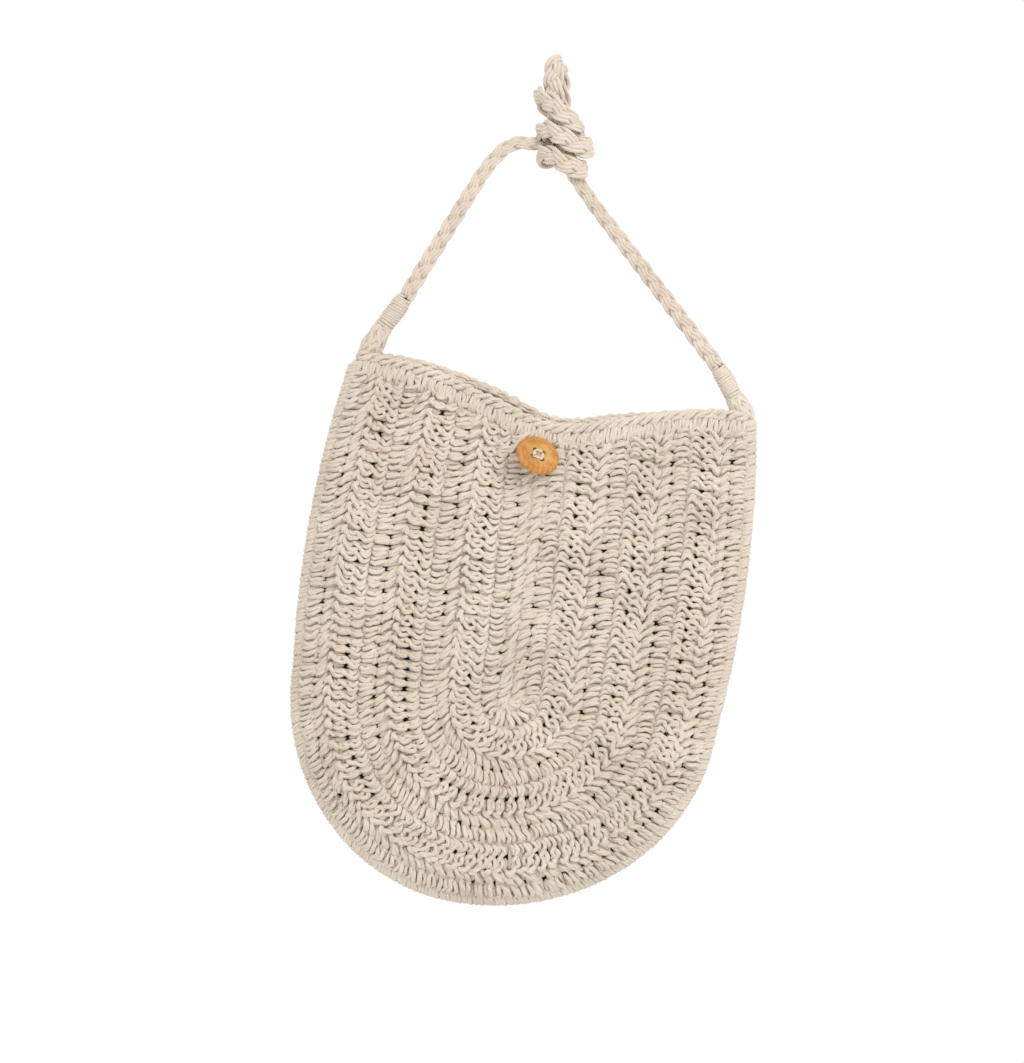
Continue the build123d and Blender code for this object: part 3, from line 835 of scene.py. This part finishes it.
def seam_place(stitches, over, lift):
    """Place seam points by stitches along the outline, turn over the edge and lift."""
    turn = np.interp((stitches + 0.5) * seam_length[-1] / seam_count, seam_length, seam_turn)
    angle = over * np.pi / 2
    inset = SEAM_INSET * (1 - np.cos(angle)) + SEAM_SINK - lift * np.cos(angle)
    outline = across_and_up(turn, 1.0)
    inner = across_and_up(turn, 0.9)
    run = np.stack([inner[0] - outline[0], inner[1] - outline[1]], axis=-1)
    run /= np.linalg.norm(run, axis=-1, keepdims=True)
    across, up = outline[0] + run[..., 0] * inset, outline[1] + run[..., 1] * inset
    return np.stack([across, up, (SEAM_DEPTH + lift) * np.sin(angle)], axis=-1)


seam_mesh = YarnMesh("side_seam_stitches")
lay_stitches(seam_mesh, SEAM_STITCH, seam_count, seam_place, seed=41, radius=1.15, jitter=(0.03, 0.04, 0.10))
lay_stitches(seam_mesh, SEAM_CORE, seam_count, seam_place, seed=43, radius=2.0, jitter=(0.01, 0.01, 0.02))
seam_mesh.build(cotton, "bag", "cotton", "side_seam")

LEFT_CORNER, RIGHT_CORNER = to_world((-93.6, 153.0, 0)) / MM, to_world((95.4, 152.5, 0)) / MM
strap_eye("left_strap_end", LEFT_WHIPPING_FOOT, LEFT_CORNER, EYE_WIDTH, EYE_DEPTH, "left_strap_eye", 3)
strap_eye("right_strap_end", RIGHT_WHIPPING_FOOT, RIGHT_CORNER, EYE_WIDTH, EYE_DEPTH, "right_strap_eye", 4)

# ---------------------------------------------------------------- button
button_side = button_axis.cross(button_hinge)
button_axes = np.array([button_hinge, button_side, button_axis])


def button_place(points):
    """Turn (along the hinge, across it, out along the shank) millimetres into metres."""
    return (np.asarray(points) @ button_axes + np.array(button_root)) * MM


def hole_place(corner):
    """Return where one of the four holes stands on the face."""
    angle = HOLE_TURN + math.pi / 4 + corner * math.pi / 2
    return HOLE_REACH * math.sqrt(2) * math.cos(angle), HOLE_REACH * math.sqrt(2) * math.sin(angle)


def lathe(name, profile, centre, segments):
    """Turn a profile of (radius, height) into a closed solid round a centre on the button."""
    angles = np.arange(segments) * 2 * np.pi / segments
    points = [(centre[0], centre[1], profile[0][1]), (centre[0], centre[1], profile[-1][1])]
    for radius, height in profile:
        points += [
            (centre[0] + radius * math.cos(a), centre[1] + radius * math.sin(a), height) for a in angles
        ]
    faces = []
    for k in range(segments):
        after = (k + 1) % segments
        faces.append((0, 2 + after, 2 + k))
        last = 2 + (len(profile) - 1) * segments
        faces.append((1, last + k, last + after))
        for level in range(len(profile) - 1):
            base = 2 + level * segments
            faces.append((base + k, base + after, base + segments + after, base + segments + k))
    mesh = bpy.data.meshes.new(name)
    mesh.from_pydata([tuple(point) for point in button_place(points)], [], faces)
    mesh.update()
    return bpy.data.objects.new(name, mesh)


def round_profile(points, steps=5):
    """Round a profile's corners, each with a quadratic curve between its neighbours."""
    corners = np.array(points, dtype=float)
    smoothed = [corners[0]]
    for before, corner, after in zip(corners, corners[1:], corners[2:]):
        reach = 0.5 * min(np.linalg.norm(corner - before), np.linalg.norm(after - corner))
        start = corner + (before - corner) / np.linalg.norm(before - corner) * reach
        end = corner + (after - corner) / np.linalg.norm(after - corner) * reach
        for t in np.linspace(0, 1, steps):
            smoothed.append((1 - t) ** 2 * start + 2 * t * (1 - t) * corner + t**2 * end)
    smoothed.append(corners[-1])
    return smoothed


back, face = BUTTON_BACK, BUTTON_BACK + BUTTON_THICKNESS
BUTTON_PROFILE = round_profile([
    (0.3, back + 0.25), (5.0, back + 0.15), (8.6, back), (10.5, back + 0.75), (10.9, back + 1.8),
    (10.35, face - 0.5), (9.2, face + 0.08), (8.25, face - 0.04), (7.75, face - 0.62), (7.25, face - 0.5),
    (4.0, face - 0.42), (0.3, face - 0.5),
])
HOLE_PROFILE = round_profile([
    (2.2, back - 0.6), (1.5, back + 0.1), (1.15, back + 0.55), (1.15, face - 1.0), (1.5, face - 0.52),
    (2.4, face + 0.1), (2.4, face + 0.6),
], steps=4)
wooden_button = lathe("wooden_button", BUTTON_PROFILE, (0, 0), 128)
bpy.context.scene.collection.objects.link(wooden_button)
drills = []
for corner in range(4):
    drill = lathe("drill", HOLE_PROFILE, hole_place(corner), 28)
    bpy.context.scene.collection.objects.link(drill)
    drills.append(drill)
    cut = wooden_button.modifiers.new("hole", "BOOLEAN")
    cut.operation, cut.solver, cut.object = "DIFFERENCE", "EXACT", drill
drilled = bpy.data.meshes.new_from_object(wooden_button.evaluated_get(bpy.context.evaluated_depsgraph_get()))
wooden_button.modifiers.clear()
wooden_button.data = drilled
for drill in drills:
    bpy.data.objects.remove(drill)
drilled.polygons.foreach_set("use_smooth", np.ones(len(drilled.polygons), dtype=bool))
drilled.set_sharp_from_angle(angle=math.radians(50))
drilled.materials.clear()
drilled.materials.append(wood_material("turned_wood", button_place((0, 0, 0)), button_axes))
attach(wooden_button, "button")
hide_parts("button")

thread = yarn_material("sewing_thread", (0.87, 0.82, 0.74), (0.70, 0.62, 0.52), plies=2, lay=1.6)
stitch_chance = np.random.RandomState(61)
stitch_mesh = YarnMesh("thread_stitches")
shank_mesh = YarnMesh("thread_shank")


def sewn_bar(start, end, ply, rise):
    """Return one ply of thread: up out of a hole, over the face and down into the next hole."""
    aside = (end - start)[::-1] * (1, -1) / np.linalg.norm(end - start) * ply * THREAD_GAP
    level = face - THREAD_SINK
    line = [
        (*(start * 0.97 + aside * 0.3), back - 0.1),
        (*(start + aside * 0.4), level - 1.2),
        (*(start * 0.86 + end * 0.14 + aside * 0.8), level - 0.15),
        (*(start * 0.66 + end * 0.34 + aside), level + rise),
        (*(start * 0.34 + end * 0.66 + aside), level + rise),
        (*(start * 0.14 + end * 0.86 + aside * 0.8), level - 0.15),
        (*(end + aside * 0.4), level - 1.2),
        (*(end * 0.97 + aside * 0.3), back - 0.1),
    ]
    return button_place(spline_weights(len(line), 40) @ np.array(line))


bar_thickness = 0.18 + 0.13 * np.sin(np.linspace(0, np.pi, 40)) ** 2
for corner in range(4):
    start, end = np.array(hole_place(corner)), np.array(hole_place(corner + 1))
    for ply in (-1, 0, 1):
        rise = 0.42 - 0.16 * abs(ply) + 0.05 * stitch_chance.randn()
        stitch_mesh.add(sewn_bar(start, end, ply, rise), bar_thickness * MM)
    for ply in range(3):
        up = np.linspace(0, 1, 24)
        spin = 2 * math.pi * (corner / 4 + ply / 12) + 1.6 * up
        girth = 0.72 + 0.25 * (2 * up - 1) ** 4
        height = SHANK_END * up - 1.1 * (1 - up) ** 3 + 0.1 * up
        rod = np.stack([girth * np.cos(spin), girth * np.sin(spin), height], axis=1)
        shank_mesh.add(button_place(rod), THREAD_RADIUS * MM)
wrap = np.linspace(0, 1, 340)
wrap_turn = 2 * math.pi * SHANK_TURNS * wrap
wrap_girth = 1.02 + 0.05 * np.sin(wrap_turn * 0.41)
winding = np.stack([wrap_girth * np.cos(wrap_turn), wrap_girth * np.sin(wrap_turn), 0.5 + 4.3 * wrap], axis=1)
shank_mesh.add(button_place(winding), THREAD_RADIUS * MM)
stitch_mesh.build(thread, "button", "thread", "button_stitches")
shank_mesh.build(thread, "button_stem", "thread", "button_shank")

knot_turn = np.linspace(0, 1, 420)
knot_round = 2 * math.pi * KNOT_TURNS * knot_turn
knot_tip = 2 * math.pi * KNOT_TIPS * knot_turn
ball = np.stack(
    [np.cos(knot_round) * np.cos(knot_tip), np.cos(knot_round) * np.sin(knot_tip), np.sin(knot_round)], axis=1
)
ball = ball * (KNOT_RADIUS - KNOT_THREAD + 0.12 * np.sin(5 * knot_tip))[:, None]
knot_mesh = YarnMesh("thread_knot_inside")
knot_mesh.add(to_world(ball + (ROOT_ACROSS, ROOT_HEIGHT, KNOT_DEPTH)), KNOT_THREAD * MM)
knot_mesh.build(thread, "bag", "thread", "button_thread_knot")


# ---------------------------------------------------------------- light and floor
def area_light(name, place, size, power, aim):
    """Add one soft square light, aimed at a point."""
    data = bpy.data.lights.new(name, "AREA")
    data.size, data.energy = size, power
    light = bpy.data.objects.new(name, data)
    light.location = place
    light.rotation_euler = (Vector(aim) - Vector(place)).to_track_quat("-Z", "Y").to_euler()
    bpy.context.scene.collection.objects.link(light)


aim = (cad_box[0] + cad_box[1]) / 2
area_light("key", (1.1, -1.5, 0.9), 1.3, 21, aim)
area_light("fill", (-1.6, -1.2, 0.3), 1.4, 6.5, aim)
area_light("back_fill", (-0.7, 1.8, 0.7), 1.2, 17, aim)
world = bpy.data.worlds.new("studio")
world.use_nodes = True
nodes, links = world.node_tree.nodes, world.node_tree.links
soft_light = nodes["Background"]
soft_light.inputs["Color"].default_value = (1, 0.99, 0.98, 1)
soft_light.inputs["Strength"].default_value = 0.86
white = nodes.new("ShaderNodeBackground")
white.inputs["Color"].default_value = (1, 1, 1, 1)
ray = nodes.new("ShaderNodeLightPath")
either = nodes.new("ShaderNodeMixShader")
links.new(ray.outputs["Is Camera Ray"], either.inputs[0])
links.new(soft_light.outputs[0], either.inputs[1])
links.new(white.outputs[0], either.inputs[2])
links.new(either.outputs[0], nodes["World Output"].inputs["Surface"])
bpy.context.scene.world = world

FLOOR_HEIGHT, FLOOR_RADIUS, FLOOR_SIDES = -1.2, 2.6, 96
floor_angles = np.arange(FLOOR_SIDES) * 2 * math.pi / FLOOR_SIDES
floor_edge = [(FLOOR_RADIUS * math.cos(a), FLOOR_RADIUS * math.sin(a), FLOOR_HEIGHT) for a in floor_angles]
floor_mesh = bpy.data.meshes.new("floor")
floor_mesh.from_pydata(floor_edge, [], [range(FLOOR_SIDES)])
floor_look = Material("pale_floor")
floor_look.feed(floor_look.shader, {"Base Color": (0.86, 0.86, 0.855, 1), "Roughness": 0.8})
floor_mesh.materials.append(floor_look.data)
floor = bpy.data.objects.new("floor", floor_mesh)
bpy.context.scene.collection.objects.link(floor)
bpy.context.scene.view_settings.view_transform = "Standard"
